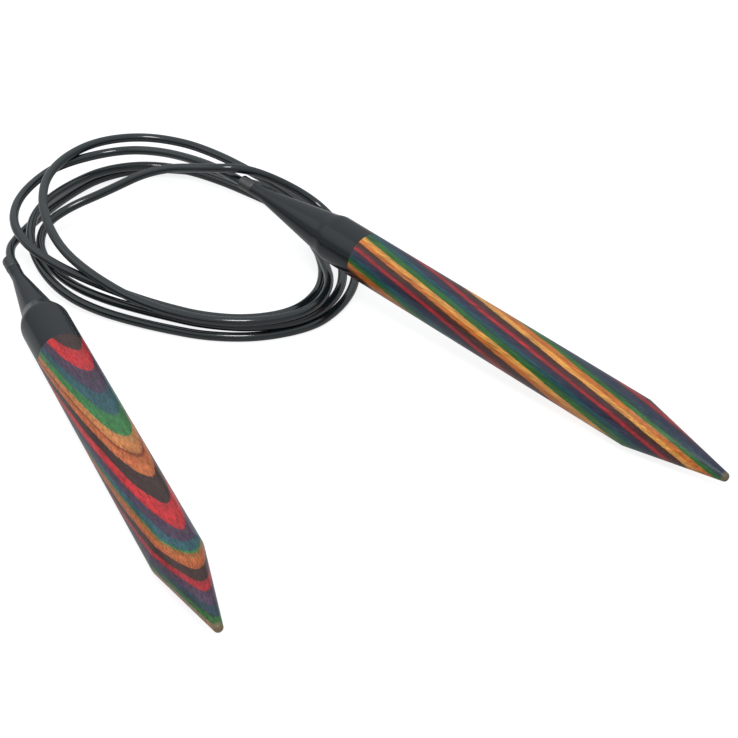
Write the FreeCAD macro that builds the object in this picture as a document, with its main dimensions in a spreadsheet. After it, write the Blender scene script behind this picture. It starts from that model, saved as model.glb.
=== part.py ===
import FreeCAD, Part
import Sketcher
import math
import os
import re

# Circular knitting needle: two thick needles of laminated wood, each with a tapered black
# connector, joined by one long cord that lies in a loose coil between them.
#
# Frame: millimetres, +Z up, Z = 0 is the surface the needle lies on, and the origin is
# under the middle of the two needles.  Each needle is modelled in a frame of its own,
# with its axis along +Z and the point where the cord leaves it at the origin, and is
# then placed.  The left needle lies flat.  The right one rests on the edge where its
# point begins, with its connector propped up by the turns of cord that pass under it.

PARTS_DIR = "parts"
os.makedirs(PARTS_DIR, exist_ok=True)

DRIVING_DIMENSIONS = [
    # shaft
    ("needle_dia", 12.0),
    ("shoulder_distance", 129.5),
    ("point_length", 26.0),
    ("point_end_dia", 1.9),
    ("point_end_round", 0.8),
    ("tenon_dia", 8.0),
    ("tenon_length", 11.0),
    # connector; the sleeve on the left needle is longer and slimmer behind its shoulder
    ("left_connector_length", 47.1),
    ("left_band_start", 31.8),
    ("left_taper_end", 27.0),
    ("left_taper_dia", 8.4),
    ("left_neck_length", 8.8),
    ("right_connector_length", 43.9),
    ("right_band_start", 33.4),
    ("right_taper_end", 31.0),
    ("right_taper_dia", 10.7),
    ("right_neck_length", 7.6),
    ("neck_dia", 3.3),
    ("band_round", 6.0),
    ("taper_round", 8.0),
    ("neck_round", 12.0),
    ("socket_dia", 8.1),
    # end ring, where the cord leaves the connector
    ("ring_dia", 3.5),
    ("ring_length", 4.4),
    ("ring_round", 0.2),
    ("spigot_dia", 2.8),
    ("spigot_length", 2.8),
    ("spigot_hole_depth", 3.0),
    ("mouth_dia", 2.9),
    ("mouth_length", 1.2),
    # cord and the crimp on its end, which turns in a chamber of the connector
    ("cord_dia", 2.3),
    ("cord_hole_dia", 2.46),
    ("cord_end_start", 9.3),
    ("chamber_start", 14.0),
    ("chamber_dia", 3.2),
    ("end_play", 0.3),
    ("crimp_dia", 3.04),
    ("crimp_waist_dia", 2.6),
    ("crimp_length", 9.7),
    ("crimp_collar_length", 2.2),
    ("crimp_step", 0.3),
    # dowel that ties the connector to the shaft
    ("dowel_depth", 7.0),
    ("dowel_end_gap", 0.1),
    # how the needles lie
    ("left_exit_x", -82.7),
    ("left_exit_y", 61.4),
    ("left_heading", -67.5),
    ("left_lift", 0.0),
    ("right_exit_x", -25.6),
    ("right_exit_y", 81.7),
    ("right_heading", -45.0),
    ("right_lift", 5.0),
    # loose coil
    ("coil_centre_x", -42.7),
    ("coil_centre_y", 73.5),
    ("coil_span", 96.0),
    ("coil_high_side", 14.0),
    ("coil_low_side", 6.2),
    ("coil_high_direction", 135.0),
    ("coil_top_round", 2.0),
    ("coil_base_round", 0.8),
]

doc = FreeCAD.newDocument("circular_knitting_needle")
sheet = doc.addObject("Spreadsheet::Sheet", "dims")
for row, (alias, number) in enumerate(DRIVING_DIMENSIONS, start=1):
    sheet.set("A%d" % row, alias)
    sheet.set("B%d" % row, str(number))
    sheet.setAlias("B%d" % row, alias)
doc.recompute()


def bound(expression):
    """The expression with each alias in it written as a reference to the sheet."""
    return re.sub(r"[a-z][a-z_]+", lambda word: "dims." + word.group(0), expression)


def value(expression):
    """The number that an expression of aliases has now."""
    return float(sheet.evalExpression(bound(expression)))


# ------------------------------------------------------------------ turned pieces


def bind_coordinate(sketch, vertex, kind, expression):
    """Hold one coordinate of a sketch vertex at an expression, or on the axis at zero."""
    if expression == "0":
        axis = -2 if kind == "DistanceX" else -1
        sketch.addConstraint(Sketcher.Constraint("PointOnObject", vertex, 1, axis))
        return
    number = sketch.addConstraint(
        Sketcher.Constraint(kind, -1, 1, vertex, 1, value(expression)))
    sketch.setExpression("Constraints[%d]" % number, bound(expression))


def turned_body(label, outline):
    """A body turned about its Z axis from a closed outline of (radius, height) points."""
    body = doc.addObject("PartDesign::Body", label)
    body.Label = label
    sketch = body.newObject("Sketcher::SketchObject", label + "_outline")
    xz_plane = [item for item in body.Origin.OriginFeatures if item.Role == "XZ_Plane"][0]
    sketch.AttachmentSupport = [(xz_plane, "")]
    sketch.MapMode = "FlatFace"
    corners = [FreeCAD.Vector(value(radius), value(height), 0) for radius, height in outline]
    count = len(corners)
    for index, corner in enumerate(corners):
        sketch.addGeometry(Part.LineSegment(corner, corners[(index + 1) % count]), False)
    for index in range(count):
        following = (index + 1) % count
        sketch.addConstraint(Sketcher.Constraint("Coincident", index, 2, following, 1))
    for index, (radius, height) in enumerate(outline):
        bind_coordinate(sketch, index, "DistanceX", radius)
        bind_coordinate(sketch, index, "DistanceY", height)
    turning = body.newObject("PartDesign::Revolution", label + "_turned")
    turning.Profile = sketch
    turning.ReferenceAxis = (sketch, ["V_Axis"])
    turning.Angle = 360.0
    doc.recompute()
    return body


def round_edge(body, radius, height, rounding):
    """Round the circular edge of a turned body that has this radius and height."""
    base = body.Tip
    edge_names = []
    for number, edge in enumerate(base.Shape.Edges, start=1):
        curve = edge.Curve
        if not isinstance(curve, Part.Circle):
            continue
        same_radius = abs(curve.Radius - value(radius)) < 0.01
        same_height = abs(curve.Center.z - value(height)) < 0.01
        if same_radius and same_height:
            edge_names.append("Edge%d" % number)
    if not edge_names:
        raise RuntimeError("no edge of radius %s at height %s" % (radius, height))
    fillet = body.newObject("PartDesign::Fillet", base.Name + "_round")
    fillet.Base = (base, edge_names)
    fillet.Radius = value(rounding)
    fillet.setExpression("Radius", bound(rounding))
    doc.recompute()
    body.Tip = fillet


def make_shaft(side):
    """Wooden shaft: tenon, parallel length and a straight point with a rounded end."""
    wood_start = side + "_connector_length"
    tenon_start = wood_start + " - tenon_length"
    full_length = "shoulder_distance + point_length"
    body = turned_body(side + "_shaft", [
        ("0", tenon_start + " + dowel_depth"),
        ("chamber_dia / 2", tenon_start + " + dowel_depth"),
        ("chamber_dia / 2", tenon_start),
        ("tenon_dia / 2", tenon_start),
        ("tenon_dia / 2", wood_start),
        ("needle_dia / 2", wood_start),
        ("needle_dia / 2", "shoulder_distance"),
        ("point_end_dia / 2", full_length),
        ("0", full_length),
    ])
    round_edge(body, "point_end_dia / 2", full_length, "point_end_round")
    return body


def make_connector(side):
    """Tapered connector: neck, taper, shoulder and band, bored for tenon, crimp and cord."""
    band_end = side + "_connector_length"
    taper_dia = side + "_taper_dia"
    body = turned_body(side + "_connector", [
        ("spigot_dia / 2", "ring_length"),
        ("neck_dia / 2", "ring_length"),
        ("neck_dia / 2", side + "_neck_length"),
        (taper_dia + " / 2", side + "_taper_end"),
        ("needle_dia / 2", side + "_band_start"),
        ("needle_dia / 2", band_end),
        ("socket_dia / 2", band_end),
        ("socket_dia / 2", band_end + " - tenon_length"),
        ("chamber_dia / 2", band_end + " - tenon_length"),
        ("chamber_dia / 2", "chamber_start"),
        ("cord_hole_dia / 2", "chamber_start"),
        ("cord_hole_dia / 2", "ring_length + spigot_hole_depth"),
        ("spigot_dia / 2", "ring_length + spigot_hole_depth"),
    ])
    round_edge(body, "needle_dia / 2", side + "_band_start", "band_round")
    round_edge(body, taper_dia + " / 2", side + "_taper_end", "taper_round")
    round_edge(body, "neck_dia / 2", side + "_neck_length", "neck_round")
    return body


def make_end_ring(side):
    """Collar pressed into the neck, with a flared mouth that the cord leaves through."""
    body = turned_body(side + "_end_ring", [
        ("mouth_dia / 2", "0"),
        ("ring_dia / 2", "0"),
        ("ring_dia / 2", "ring_length"),
        ("spigot_dia / 2", "ring_length"),
        ("spigot_dia / 2", "ring_length + spigot_length"),
        ("cord_hole_dia / 2", "ring_length + spigot_length"),
        ("cord_hole_dia / 2", "mouth_length"),
    ])
    round_edge(body, "ring_dia / 2", "0", "ring_round")
    round_edge(body, "ring_dia / 2", "ring_length", "ring_round")
    return body


def make_cord_end(side):
    """Straight end of the cord in a sleeve, with a crimp that is free to turn."""
    crimp_start = "chamber_start + end_play"
    collar = " + crimp_collar_length"
    crimp_end = crimp_start + " + crimp_length"
    return turned_body(side + "_cord_end", [
        ("0", "cord_end_start"),
        ("cord_dia / 2", "cord_end_start"),
        ("cord_dia / 2", crimp_start),
        ("crimp_dia / 2", crimp_start),
        ("crimp_dia / 2", crimp_start + collar),
        ("crimp_waist_dia / 2", crimp_start + collar + " + crimp_step"),
        ("crimp_waist_dia / 2", crimp_end + " - crimp_collar_length - crimp_step"),
        ("crimp_dia / 2", crimp_end + " - crimp_collar_length"),
        ("crimp_dia / 2", crimp_end),
        ("0", crimp_end),
    ])


def make_dowel(side):
    """Metal dowel along the axis, from behind the crimp into the shaft's tenon."""
    dowel_start = "chamber_start + end_play + crimp_length + end_play"
    dowel_end = side + "_connector_length - tenon_length + dowel_depth - dowel_end_gap"
    return turned_body(side + "_dowel", [
        ("0", dowel_start),
        ("chamber_dia / 2", dowel_start),
        ("chamber_dia / 2", dowel_end),
        ("0", dowel_end),
    ])


def needle_placement(side):
    """Where a needle lies: the cord's exit point, and the axis towards the point."""
    heading = math.radians(value(side + "_heading"))
    lift = math.radians(value(side + "_lift"))
    axis = FreeCAD.Vector(
        math.cos(lift) * math.cos(heading),
        math.cos(lift) * math.sin(heading),
        -math.sin(lift))
    rise = value("shoulder_distance") * math.sin(lift)
    exit_height = value("needle_dia / 2") * math.cos(lift) + rise
    exit_point = FreeCAD.Vector(value(side + "_exit_x"), value(side + "_exit_y"), exit_height)
    return FreeCAD.Placement(exit_point, FreeCAD.Rotation(FreeCAD.Vector(0, 0, 1), axis))


nodes = []
placements = {}
for side in ("left", "right"):
    placements[side] = needle_placement(side)
    for make in (make_shaft, make_connector, make_end_ring, make_cord_end, make_dowel):
        piece = make(side)
        piece.Placement = placements[side]
        nodes.append(piece)

# ------------------------------------------------------------------ cord


def along_axis(side, height):
    """A point on a needle's axis, at a height in the needle's own frame."""
    return placements[side].multVec(FreeCAD.Vector(0, 0, height))


def unit_vector(start, end):
    """The direction from one point to another, of length 1."""
    return (end - start) / start.distanceToPoint(end)


def tangent_path(points):
    """Straight runs between points, joined by arcs as large as the runs allow."""
    edges = []
    radii = []
    start = points[0]
    for before, corner, after in zip(points, points[1:], points[2:]):
        arriving = unit_vector(before, corner)
        leaving = unit_vector(corner, after)
        half_turn = arriving.getAngle(leaving) / 2
        setback = 0.45 * min(before.distanceToPoint(corner), corner.distanceToPoint(after))
        radius = setback / math.tan(half_turn)
        radii.append(radius)
        arc_start = corner - arriving * setback
        arc_end = corner + leaving * setback
        arc_middle = corner + unit_vector(arriving, leaving) * radius * (1 / math.cos(half_turn) - 1)
        edges.append(Part.LineSegment(start, arc_start).toShape())
        edges.append(Part.Arc(arc_start, arc_middle, arc_end).toShape())
        start = arc_end
    edges.append(Part.LineSegment(start, points[-1]).toShape())
    return Part.Wire(edges), radii


def cord_tube(label, points):
    """A free stretch of the cord as a plain tube along its route."""
    path, radii = tangent_path(points)
    radius = value("cord_dia / 2")
    section = Part.Wire(Part.Circle(points[0], points[1] - points[0], radius).toShape())
    feature = doc.addObject("Part::Feature", label)
    feature.Label = label
    feature.Shape = path.makePipeShell([section], True, True)
    ideal = math.pi * radius ** 2 * path.Length
    print("%s: length %.1f, radii %s, volume / ideal %.4f" % (
        label, path.Length, ", ".join("%.1f" % r for r in radii), feature.Shape.Volume / ideal))
    return feature


def oval_block(reaches, height):
    """Upright block on the surface whose closed outline has these reaches all round."""
    points = []
    for index, reach in enumerate(reaches):
        direction = math.radians(index * 360.0 / len(reaches))
        points.append(FreeCAD.Vector(
            value("coil_centre_x") + reach * math.cos(direction),
            value("coil_centre_y") + reach * math.sin(direction),
            0))
    curve = Part.BSplineCurve()
    curve.interpolate(Points=points, PeriodicFlag=True)
    return Part.Face(Part.Wire(curve.toShape())).extrude(FreeCAD.Vector(0, 0, height))


def make_coil(label, outer_reaches, inner_reaches):
    """The outer shape of the loose coil: a flat-based oval ring under a tilted top."""
    height = value("coil_high_side + coil_low_side")
    ring = oval_block(outer_reaches, height).cut(oval_block(inner_reaches, height))
    span = value("coil_span")
    rise = value("coil_high_side - coil_low_side")
    tilt = math.degrees(math.atan2(rise, span))
    above = Part.makeBox(2 * span, 2 * span, height, FreeCAD.Vector(-span, -span, 0))
    direction = FreeCAD.Vector(0, 0, 1)
    above.rotate(FreeCAD.Vector(0, 0, 0), FreeCAD.Vector(0, 1, 0), -tilt)
    above.rotate(FreeCAD.Vector(0, 0, 0), direction, value("coil_high_direction"))
    above.translate(FreeCAD.Vector(
        value("coil_centre_x"), value("coil_centre_y"),
        value("(coil_high_side + coil_low_side) / 2")))
    ring = ring.cut(above).Solids[0]
    upper_edges = [edge for edge in ring.Edges if edge.BoundBox.ZMin > 1]
    ring = ring.makeFillet(value("coil_top_round"), upper_edges)
    lower_edges = [edge for edge in ring.Edges if edge.BoundBox.ZMax < 0.01]
    ring = ring.makeFillet(value("coil_base_round"), lower_edges).Solids[0]
    feature = doc.addObject("Part::Feature", label)
    feature.Label = label
    feature.Shape = ring
    return feature


# Points of the free stretches, from the needle's end into the coil.
inside = value("cord_end_start")
BEYOND_EXIT = 3.7
right_lead_route = [
    along_axis("right", inside),
    along_axis("right", -BEYOND_EXIT),
    FreeCAD.Vector(-37.1, 95.9, 15.5),
    FreeCAD.Vector(-48.5, 106.8, 12.8),
    FreeCAD.Vector(-62.0, 110.8, 10.6),
]
left_lead_route = [
    along_axis("left", inside),
    along_axis("left", -BEYOND_EXIT),
    FreeCAD.Vector(-82.3, 78.0, 4.5),
    FreeCAD.Vector(-77.0, 91.0, 3.0),
]
# One turn leaves the others, rises over the right-hand lead and comes down again.
crossing_route = [
    FreeCAD.Vector(4.2, 67.5, 3.2),
    FreeCAD.Vector(2.3, 81.0, 5.2),
    FreeCAD.Vector(-10.0, 88.0, 11.0),
    FreeCAD.Vector(-25.0, 84.6, 21.8),
    FreeCAD.Vector(-36.0, 84.2, 22.4),
    FreeCAD.Vector(-50.0, 91.5, 16.2),
    FreeCAD.Vector(-64.0, 88.5, 9.6),
    FreeCAD.Vector(-73.5, 84.0, 6.0),
]
nodes.append(cord_tube("right_lead", right_lead_route))
nodes.append(cord_tube("left_lead", left_lead_route))
nodes.append(cord_tube("crossing_turn", crossing_route))

# Reach of the coil's two sides from its centre, every 30 degrees from +X.
COIL_OUTER = [47.5, 42.5, 41.5, 46.0, 47.5, 45.5, 41.0, 36.3, 33.7, 38.0, 47.5, 50.0]
COIL_INNER = [34.0, 31.5, 31.5, 36.0, 39.0, 33.5, 30.5, 27.3, 26.5, 29.0, 36.8, 38.5]
nodes.append(make_coil("coil", COIL_OUTER, COIL_INNER))

# ------------------------------------------------------------------ checks and output

doc.recompute()
for item in doc.Objects:
    if "Invalid" in item.State or "Error" in item.State:
        raise RuntimeError("%s failed: %s" % (item.Name, item.State))
for node in nodes:
    if node.Shape.isNull() or not node.Shape.isValid():
        raise RuntimeError("%s has no valid shape" % node.Label)

for node in nodes:
    print("%s: volume %.1f, solids %d" % (node.Label, node.Shape.Volume, len(node.Shape.Solids)))
    node.Shape.exportStep(os.path.join(PARTS_DIR, node.Label + ".step"))
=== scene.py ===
import math

import bpy
from mathutils import Matrix, Vector


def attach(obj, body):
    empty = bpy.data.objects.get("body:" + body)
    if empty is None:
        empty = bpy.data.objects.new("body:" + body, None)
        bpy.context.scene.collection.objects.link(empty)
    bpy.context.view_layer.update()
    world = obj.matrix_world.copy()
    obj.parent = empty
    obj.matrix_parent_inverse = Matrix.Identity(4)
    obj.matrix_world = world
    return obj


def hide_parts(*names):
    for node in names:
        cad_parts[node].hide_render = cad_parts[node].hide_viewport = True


# Circular knitting needle: two laminated wood needles joined by one black cord.
# Metres, +Z up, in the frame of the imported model.

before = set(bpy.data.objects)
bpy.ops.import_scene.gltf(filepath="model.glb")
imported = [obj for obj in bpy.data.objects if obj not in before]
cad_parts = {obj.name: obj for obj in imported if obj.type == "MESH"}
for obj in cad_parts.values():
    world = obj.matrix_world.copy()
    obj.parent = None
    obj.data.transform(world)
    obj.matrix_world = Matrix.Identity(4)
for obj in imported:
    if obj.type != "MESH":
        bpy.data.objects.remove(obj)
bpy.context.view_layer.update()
scene = bpy.context.scene
scene.view_settings.view_transform = "Standard"

MM = 0.001

# ------------------------------------------------------------------ camera


CAMERA_LENS_MM = 117.07
CAMERA_PLACE = (0.00624, -0.45106, 0.3060)
CAMERA_BELOW_LEVEL = 32.92


def add_camera():
    data = bpy.data.cameras.new("camera")
    data.lens = CAMERA_LENS_MM
    data.sensor_width = 36.0
    data.clip_start = 0.02
    data.clip_end = 20.0
    camera = bpy.data.objects.new("camera", data)
    camera.location = CAMERA_PLACE
    camera.rotation_euler = (math.radians(90.0 - CAMERA_BELOW_LEVEL), 0.0, 0.0)
    scene.collection.objects.link(camera)
    scene.camera = camera


add_camera()

# ------------------------------------------------------------------ how the needles lie


class Needle:
    """A needle's own frame: the cord's exit, the axis towards the point, and across."""

    def __init__(self, exit_mm, heading, lift):
        heading, lift = math.radians(heading), math.radians(lift)
        self.exit = Vector(exit_mm) * MM
        self.axis = Vector((
            math.cos(lift) * math.cos(heading),
            math.cos(lift) * math.sin(heading),
            -math.sin(lift)))
        up = Vector((0, 0, 1))
        self.up = (up - self.axis * up.dot(self.axis)).normalized()
        self.side = self.up.cross(self.axis)

    def along(self, distance_mm):
        return self.exit + self.axis * distance_mm * MM

    def euler(self):
        return Matrix((self.side, self.up, self.axis)).transposed().to_euler()


LEFT = Needle((-82.7, 61.4, 6.0), -67.5, 0.0)
RIGHT = Needle((-25.6, 81.7, 17.26384), -45.0, 5.0)

# ------------------------------------------------------------------ cord

CORD_DIAMETER = 0.0023
# The rest of this section is in millimetres and degrees.
CRIMP_FACE = 9.3
BEYOND_EXIT = 3.7
CENTRE_X, CENTRE_Y = -42.8, 73.6
STEP = 15
STATION = 45
# The spline cuts inside its control points on a turn, so they lie out by 1 / cos(STEP / 2).
CONTROL_REACH = 1.0086

# Reach of a plain turn from the coil's centre, every 22.5 degrees from +X.
OVAL = [40, 37.5, 35.5, 35.5, 40.5, 44.5, 42, 39, 36, 32.8, 30.6, 30.8, 34.2, 40.7, 45.7, 44]

# The turns before and after the crossing, as (spread of the oval, height) every 45 degrees.
FIRST_FROM = 135
FIRST_TURNS = [
    (1.05, 10.0), (1.11, 9.4), (0.97, 6.8), (0.89, 3.9), (0.94, 2.3), (0.90, 1.5),
    (0.965, 1.8), (1.005, 3.2), (0.95, 5.7), (1.0, 7.0), (1.10, 2.7), (1.05, 1.35),
    (1.085, 1.25),
]
SECOND_FROM = 900
SECOND_TURNS = [
    (0.94, 4.1), (0.99, 3.6), (0.97, 3.3), (1.08, 3.5), (1.0, 4.0), (0.975, 7.4),
    (1.03, 10.7), (1.01, 12.6), (0.88, 11.6), (0.95, 9.1), (1.055, 6.5), (1.095, 6.0),
    (0.855, 4.5), (1.12, 2.2), (1.08, 1.4), (0.985, 1.9),
]
# The last turn before the crossing widens, then rises over the others and the lead.
CROSSING = [
    (-1.6, 45.6, 1.35), (2.0, 54.0, 1.6), (3.2, 62.5, 2.0), (2.6, 71.3, 2.9),
    (-0.9, 80.0, 5.1), (-9.1, 88.2, 9.7), (-23.5, 83.9, 19.9), (-33.5, 83.3, 20.3),
    (-48.3, 91.4, 16.0), (-61.5, 89.4, 10.0), (-70.3, 87.1, 7.0),
    (-76.1, 82.1, 5.0),
]
RIGHT_LEAD = [(-37.1, 95.9, 15.5), (-48.5, 106.8, 12.8), (-60.0, 110.8, 11.0)]
LEFT_LEAD = [(-77.5, 91.0, 3.0), (-82.0, 78.0, 4.4)]


def between(before, start, end, after, t):
    """A smooth value between start and end, led by the values either side of them."""
    return 0.5 * (
        2 * start + (end - before) * t
        + (2 * before - 5 * start + 4 * end - after) * t ** 2
        + (3 * start - before - 3 * end + after) * t ** 3)


def oval_reach(direction):
    """Reach of a plain turn from the coil's centre, in any direction."""
    place = direction % 360 / 360 * len(OVAL)
    index = int(place)
    around = [OVAL[(index + k) % len(OVAL)] for k in (-1, 0, 1, 2)]
    return between(*around, place - index)


def station(table, place):
    """Spread and height at a place along a table of turns."""
    index = min(int(place), len(table) - 2)
    around = [table[min(max(index + k, 0), len(table) - 1)] for k in (-1, 0, 1, 2)]
    return [between(*values, place - index) for values in zip(*around)]


def turns(start, table):
    """Control points every STEP degrees from the start, for a table of turns."""
    points = []
    for k in range((len(table) - 1) * STATION // STEP + 1):
        spread, height = station(table, k * STEP / STATION)
        direction = math.radians(start + k * STEP)
        reach = oval_reach(start + k * STEP) * spread * CONTROL_REACH
        points.append((
            CENTRE_X + reach * math.cos(direction),
            CENTRE_Y + reach * math.sin(direction),
            height))
    return points


def in_metres(points):
    return [Vector(point) * MM for point in points]


def add_cord():
    points = [RIGHT.along(CRIMP_FACE), RIGHT.along(-BEYOND_EXIT)]
    points += in_metres(RIGHT_LEAD)
    points += in_metres(turns(FIRST_FROM, FIRST_TURNS))
    points += in_metres(CROSSING)
    points += in_metres(turns(SECOND_FROM, SECOND_TURNS))
    points += in_metres(LEFT_LEAD)
    points += [LEFT.along(-BEYOND_EXIT), LEFT.along(CRIMP_FACE)]
    data = bpy.data.curves.new("cord", "CURVE")
    data.dimensions = "3D"
    data.bevel_depth = CORD_DIAMETER / 2
    data.bevel_resolution = 8
    data.resolution_u = 12
    data.use_fill_caps = True
    spline = data.splines.new("NURBS")
    spline.points.add(len(points) - 1)
    for knot, point in zip(spline.points, points):
        knot.co = (*point, 1.0)
    spline.order_u = 3
    spline.use_endpoint_u = True
    cord = bpy.data.objects.new("cord_line", data)
    scene.collection.objects.link(cord)
    return cord


cord = add_cord()

# ------------------------------------------------------------------ material helpers


def new_material(name):
    material = bpy.data.materials.new(name)
    material.use_nodes = True
    tree = material.node_tree
    shader = tree.nodes["Principled BSDF"]
    return material, tree, shader


def add_node(tree, kind, settings=None, **inputs):
    """A node with its settings and sockets set. A socket value may be another's output.

    A socket is given by its name, or by its number as i0, i1 and so on.
    """
    node = tree.nodes.new(kind)
    for name, setting in (settings or {}).items():
        setattr(node, name, setting)
    for name, given in inputs.items():
        key = int(name[1:]) if name[1:].isdigit() else name.replace("_", " ")
        if isinstance(given, bpy.types.NodeSocket):
            tree.links.new(given, node.inputs[key])
        else:
            node.inputs[key].default_value = given
    return node


def math_node(tree, operation, a, b=0.0, c=0.0):
    node = add_node(tree, "ShaderNodeMath", {"operation": operation}, i0=a, i1=b, i2=c)
    return node.outputs[0]


def remapped(tree, value, from_low, from_high, to_low, to_high):
    node = add_node(
        tree, "ShaderNodeMapRange", i0=value, i1=from_low, i2=from_high, i3=to_low, i4=to_high)
    return node.outputs[0]


def noise(tree, vector, scale, detail=3.0, roughness=0.55):
    node = add_node(
        tree, "ShaderNodeTexNoise", Vector=vector, Scale=scale, Detail=detail,
        Roughness=roughness)
    return node.outputs[0]


def stretched(tree, vector, across, along):
    """Coordinates for a texture whose features are this many mm across and along Z."""
    node = add_node(tree, "ShaderNodeMapping", {"vector_type": "POINT"}, Vector=vector)
    node.inputs["Scale"].default_value = (1 / across, 1 / across, 1 / along)
    return node.outputs[0]


def in_needle_frame(tree, needle):
    """Object coordinates in the needle's own frame, in millimetres."""
    place = add_node(tree, "ShaderNodeTexCoord").outputs["Object"]
    node = add_node(tree, "ShaderNodeMapping", {"vector_type": "TEXTURE"}, Vector=place)
    node.inputs["Location"].default_value = needle.exit
    node.inputs["Rotation"].default_value = needle.euler()
    node.inputs["Scale"].default_value = (MM, MM, MM)
    return node.outputs[0]


def linear(red, green, blue):
    """A display colour from 0 to 255 as a linear one."""
    out = []
    for level in (red, green, blue):
        level /= 255
        out.append(level / 12.92 if level <= 0.04045 else ((level + 0.055) / 1.055) ** 2.4)
    return (*out, 1.0)


def mix_colour(tree, factor, a, b, blend="MIX"):
    node = add_node(tree, "ShaderNodeMix", {"data_type": "RGBA", "blend_type": blend})
    for index, given in ((0, factor), (6, a), (7, b)):
        if isinstance(given, bpy.types.NodeSocket):
            tree.links.new(given, node.inputs[index])
        else:
            node.inputs[index].default_value = given
    return node.outputs[2]


# ------------------------------------------------------------------ laminated wood

DYES = {
    "dark": (65, 41, 38),
    "red": (208, 42, 48),
    "purple": (79, 58, 80),
    "blue": (50, 90, 98),
    "green": (60, 122, 66),
    "orange": (208, 110, 60),
    "amber": (206, 128, 72),
    "line": (140, 66, 34),
    "tan": (146, 122, 92),
    "umber": (74, 40, 32),
    "crimson": (172, 39, 47),
    "maroon": (100, 36, 44),
    "plum": (48, 48, 72),
    "teal": (28, 78, 84),
    "pine": (48, 102, 46),
    "rust": (204, 112, 42),
    "honey": (232, 158, 74),
    "sienna": (190, 98, 50),
    "slate": (44, 66, 76),
}

# Plies across each needle, from one side to the other, as (dye, thickness in mm).
LEFT_FIRST_FACE = -22.3
LEFT_PLIES = [
    ("red", 0.9), ("dark", 0.8), ("orange", 1.1), ("tan", 0.9), ("pine", 0.9), ("slate", 1.0),
    ("purple", 1.2), ("crimson", 0.9), ("dark", 1.0), ("sienna", 1.35), ("green", 0.18),
    ("blue", 0.95), ("purple", 1.02), ("red", 1.22), ("dark", 1.23), ("orange", 0.93),
    ("line", 0.16), ("amber", 0.91), ("green", 1.15), ("blue", 1.1), ("purple", 1.2),
    ("red", 1.2), ("dark", 1.3), ("orange", 1.2),
]
RIGHT_FIRST_FACE = -1.0
RIGHT_PLIES = [
    ("umber", 1.1), ("rust", 1.3), ("pine", 0.8), ("teal", 1.0), ("plum", 1.15),
    ("maroon", 0.25), ("crimson", 0.6), ("maroon", 0.4), ("umber", 1.0), ("rust", 0.95),
    ("honey", 1.05), ("pine", 1.1), ("teal", 1.05), ("plum", 1.1), ("maroon", 0.25),
    ("crimson", 0.65), ("maroon", 0.4), ("umber", 0.95), ("honey", 0.95), ("rust", 1.0),
    ("pine", 0.9), ("slate", 1.1), ("plum", 1.15), ("maroon", 0.3), ("crimson", 0.65),
    ("umber", 1.2),
]


def ply_colours(tree, depth, first_face, plies, interpolation):
    """The dye of the ply at a depth across the stack, with crisp faces or run together."""
    total = sum(thickness for dye, thickness in plies)
    place = math_node(tree, "MULTIPLY_ADD", depth, 1 / total, -first_face / total)
    ramp = add_node(tree, "ShaderNodeValToRGB", i0=place)
    ramp.color_ramp.interpolation = interpolation
    stops = ramp.color_ramp.elements
    stops.remove(stops[1])
    face = 0.0
    for index, (dye, thickness) in enumerate(plies):
        at = face if interpolation == "CONSTANT" else face + thickness / 2
        stop = stops[0] if index == 0 else stops.new(at / total)
        stop.position = at / total
        stop.color = linear(*DYES[dye])
        face += thickness
    return ramp.outputs[0]


# How far the plies' faces wander and how ragged they are, in mm.
PLY_WANDER, PLY_RAGGEDNESS = 0.5, 0.28
# The bare end grain of the point shows between these distances from the cord's exit, in mm.
END_GRAIN_START, END_GRAIN_FULL = 154.0, 155.1
END_GRAIN_STRENGTH = 0.85


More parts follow.
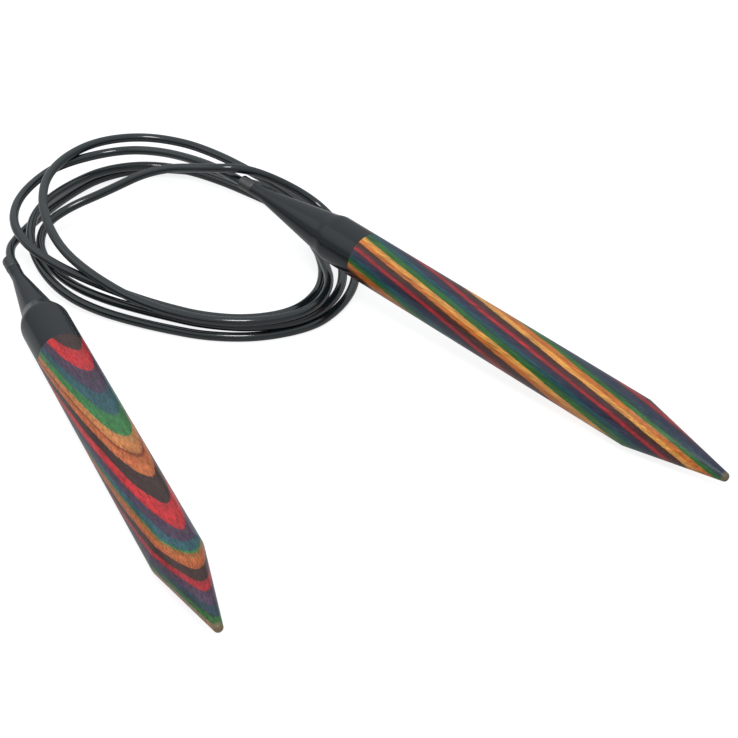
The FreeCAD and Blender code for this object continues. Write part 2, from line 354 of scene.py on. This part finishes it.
def wood(name, needle, slope, turned, rise, grain, first_face, plies):
    """Lacquered dyed plies, leaning from the axis by slope, turned about it, grain mm long."""
    material, tree, shader = new_material(name)
    place = in_needle_frame(tree, needle)
    level = math.sqrt(1 - slope ** 2)
    turned = math.radians(turned)
    normal = (level * math.sin(turned), level * math.cos(turned), rise * slope)
    depth = add_node(
        tree, "ShaderNodeVectorMath", {"operation": "DOT_PRODUCT"}, i0=place, i1=normal)
    wander = noise(tree, stretched(tree, place, 5.0, 26.0), 1.0, 2.0)
    ragged = noise(tree, stretched(tree, place, 0.20, 2.4), 1.0, 3.0, 0.6)
    depth = math_node(tree, "MULTIPLY_ADD", wander, PLY_WANDER, depth.outputs["Value"])
    depth = math_node(tree, "MULTIPLY_ADD", ragged, PLY_RAGGEDNESS, depth)
    depth = math_node(tree, "ADD", depth, -(PLY_WANDER + PLY_RAGGEDNESS) / 2)
    crisp = ply_colours(tree, depth, first_face, plies, "CONSTANT")
    soft = ply_colours(tree, depth, first_face, plies, "LINEAR")
    dyed = mix_colour(tree, 0.5, crisp, soft, "DARKEN")
    fibre = noise(tree, stretched(tree, place, 0.26, grain), 1.0, 4.0, 0.65)
    tone = remapped(tree, fibre, 0.30, 0.70, 0.52, 1.44)
    patch = noise(tree, stretched(tree, place, 1.2, 8.0), 1.0, 2.0)
    tone = math_node(tree, "MULTIPLY", tone, remapped(tree, patch, 0.3, 0.7, 0.80, 1.16))
    pores = noise(tree, stretched(tree, place, 0.17, grain), 1.0, 2.0, 0.5)
    tone = math_node(tree, "MULTIPLY", tone, remapped(tree, pores, 0.56, 0.70, 1.07, 0.50))
    grey = add_node(tree, "ShaderNodeCombineColor", i0=tone, i1=tone, i2=tone).outputs[0]
    toned = mix_colour(tree, 1.0, dyed, grey, "MULTIPLY")
    tint = add_node(
        tree, "ShaderNodeTexNoise", Vector=stretched(tree, place, 0.45, 3.5), Scale=1.0,
        Detail=3.0).outputs["Color"]
    toned = mix_colour(tree, 0.35, toned, mix_colour(tree, 1.0, toned, tint, "OVERLAY"))
    height = add_node(tree, "ShaderNodeSeparateXYZ", i0=place).outputs[2]
    end_grain = remapped(
        tree, height, END_GRAIN_START, END_GRAIN_FULL, 0.0, END_GRAIN_STRENGTH)
    toned = mix_colour(tree, end_grain, toned, linear(126, 108, 82))
    tree.links.new(toned, shader.inputs["Base Color"])
    lacquer = noise(tree, stretched(tree, place, 1.2, 5.0), 1.0, 3.0)
    gloss = remapped(tree, lacquer, 0.3, 0.7, 0.34, 0.50)
    tree.links.new(gloss, shader.inputs["Roughness"])
    shader.inputs["Specular IOR Level"].default_value = 0.3
    shader.inputs["Coat Weight"].default_value = 0.35
    shader.inputs["Coat Roughness"].default_value = 0.12
    bump = add_node(
        tree, "ShaderNodeBump", Height=fibre, Strength=0.10, Distance=0.00006)
    tree.links.new(bump.outputs[0], shader.inputs["Normal"])
    return material


# ------------------------------------------------------------------ plastic and metal


def moulded_black(name, needle):
    """Satin black plastic of the connectors, with faint drag marks round it."""
    material, tree, shader = new_material(name)
    place = in_needle_frame(tree, needle)
    cloudy = noise(tree, stretched(tree, place, 3.0, 8.0), 1.0, 4.0)
    colour = mix_colour(tree, cloudy, linear(24, 28, 32), linear(32, 37, 41))
    tree.links.new(colour, shader.inputs["Base Color"])
    fine = noise(tree, stretched(tree, place, 0.9, 0.35), 1.0, 4.0, 0.6)
    gloss = remapped(tree, fine, 0.3, 0.7, 0.17, 0.22)
    tree.links.new(gloss, shader.inputs["Roughness"])
    return material


def cord_black():
    """Glossy black plastic cord, a little uneven where it has been drawn."""
    material, tree, shader = new_material("cord_black")
    place = add_node(tree, "ShaderNodeTexCoord").outputs["Object"]
    cloudy = noise(tree, place, 260.0, 4.0)
    colour = mix_colour(tree, cloudy, linear(11, 18, 20), linear(22, 32, 35))
    tree.links.new(colour, shader.inputs["Base Color"])
    gloss = remapped(tree, noise(tree, place, 200.0, 2.0), 0.3, 0.7, 0.14, 0.20)
    tree.links.new(gloss, shader.inputs["Roughness"])
    shader.inputs["Coat Weight"].default_value = 0.6
    shader.inputs["Coat Roughness"].default_value = 0.10
    bump = add_node(
        tree, "ShaderNodeBump", Height=noise(tree, place, 70.0, 1.0), Strength=0.10,
        Distance=0.00003)
    tree.links.new(bump.outputs[0], shader.inputs["Normal"])
    return material


def metal(name, dark, light, low, high):
    """Metal between a dark and a light colour, with small stains and an uneven polish."""
    material, tree, shader = new_material(name)
    place = add_node(tree, "ShaderNodeTexCoord").outputs["Object"]
    stain = noise(tree, place, 900.0, 5.0, 0.6)
    tree.links.new(mix_colour(tree, stain, dark, light), shader.inputs["Base Color"])
    gloss = remapped(tree, noise(tree, place, 2500.0, 3.0), 0.3, 0.7, low, high)
    tree.links.new(gloss, shader.inputs["Roughness"])
    shader.inputs["Metallic"].default_value = 1.0
    return material


def finish_with(node_name, material):
    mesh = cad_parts[node_name].data
    mesh.materials.clear()
    mesh.materials.append(material)


finish_with("left_shaft", wood(
    "left_wood", LEFT, slope=0.1246, turned=12.81, rise=-1, grain=1.7,
    first_face=LEFT_FIRST_FACE, plies=LEFT_PLIES))
finish_with("right_shaft", wood(
    "right_wood", RIGHT, slope=0.1147, turned=48.17, rise=1, grain=4.0,
    first_face=RIGHT_FIRST_FACE, plies=RIGHT_PLIES))
finish_with("left_connector", moulded_black("left_connector_black", LEFT))
finish_with("right_connector", moulded_black("right_connector_black", RIGHT))
ring_metal = metal("blackened_brass", linear(84, 86, 88), linear(112, 112, 110), 0.26, 0.40)
crimp_metal = metal("crimp_brass", linear(176, 146, 88), linear(206, 178, 118), 0.25, 0.42)
dowel_steel = metal("dowel_steel", linear(150, 150, 152), linear(186, 187, 190), 0.22, 0.4)
for side in ("left", "right"):
    finish_with(side + "_end_ring", ring_metal)
    finish_with(side + "_cord_end", crimp_metal)
    finish_with(side + "_dowel", dowel_steel)
cord.data.materials.append(cord_black())

# ------------------------------------------------------------------ what stands for what

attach(cord, "cord")
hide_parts("coil", "right_lead", "left_lead", "crossing_turn")

# ------------------------------------------------------------------ floor and light


FLOOR_BASE = 0.34
GLOW_IN_REFLECTIONS, GLOW_TO_CAMERA = 0.20, 0.84


def add_floor():
    """A pale floor that looks white but is darker in what the needles and cord reflect."""
    bpy.ops.mesh.primitive_plane_add(size=6.0, location=(0, 0, 0))
    floor = bpy.context.object
    floor.name = "floor"
    material, tree, shader = new_material("floor_pale")
    shader.inputs["Base Color"].default_value = (FLOOR_BASE, FLOOR_BASE, FLOOR_BASE, 1)
    shader.inputs["Roughness"].default_value = 0.9
    shader.inputs["Specular IOR Level"].default_value = 0.1
    shader.inputs["Emission Color"].default_value = (1, 1, 1, 1)
    seen = add_node(tree, "ShaderNodeLightPath").outputs["Is Camera Ray"]
    glow = remapped(tree, seen, 0.0, 1.0, GLOW_IN_REFLECTIONS, GLOW_TO_CAMERA)
    tree.links.new(glow, shader.inputs["Emission Strength"])
    floor.data.materials.append(material)


def add_softbox(name, location, size, power, aim=(-0.01, 0.02, 0.0)):
    data = bpy.data.lights.new(name, "AREA")
    data.shape = "RECTANGLE"
    data.size, data.size_y = size
    data.energy = power
    light = bpy.data.objects.new(name, data)
    light.location = location
    direction = Vector(aim) - Vector(location)
    light.rotation_euler = direction.to_track_quat("-Z", "Y").to_euler()
    scene.collection.objects.link(light)


def add_world():
    """A faintly cool room that gets brighter from the horizon upwards."""
    world = bpy.data.worlds.new("studio")
    world.use_nodes = True
    tree = world.node_tree
    direction = add_node(tree, "ShaderNodeTexCoord").outputs["Generated"]
    height = add_node(tree, "ShaderNodeSeparateXYZ", i0=direction).outputs[2]
    rise = remapped(tree, height, 0.0, 0.8, 0.28, 0.78)
    background = tree.nodes["Background"]
    background.inputs["Color"].default_value = (0.90, 0.97, 1.0, 1)
    tree.links.new(rise, background.inputs["Strength"])
    scene.world = world


add_floor()
add_world()
add_softbox("overhead", (-0.08, -0.45, 0.90), (0.24, 0.26), 3.0)
add_softbox("left_panel", (-1.40, 0.00, 1.10), (1.8, 1.2), 2.2)
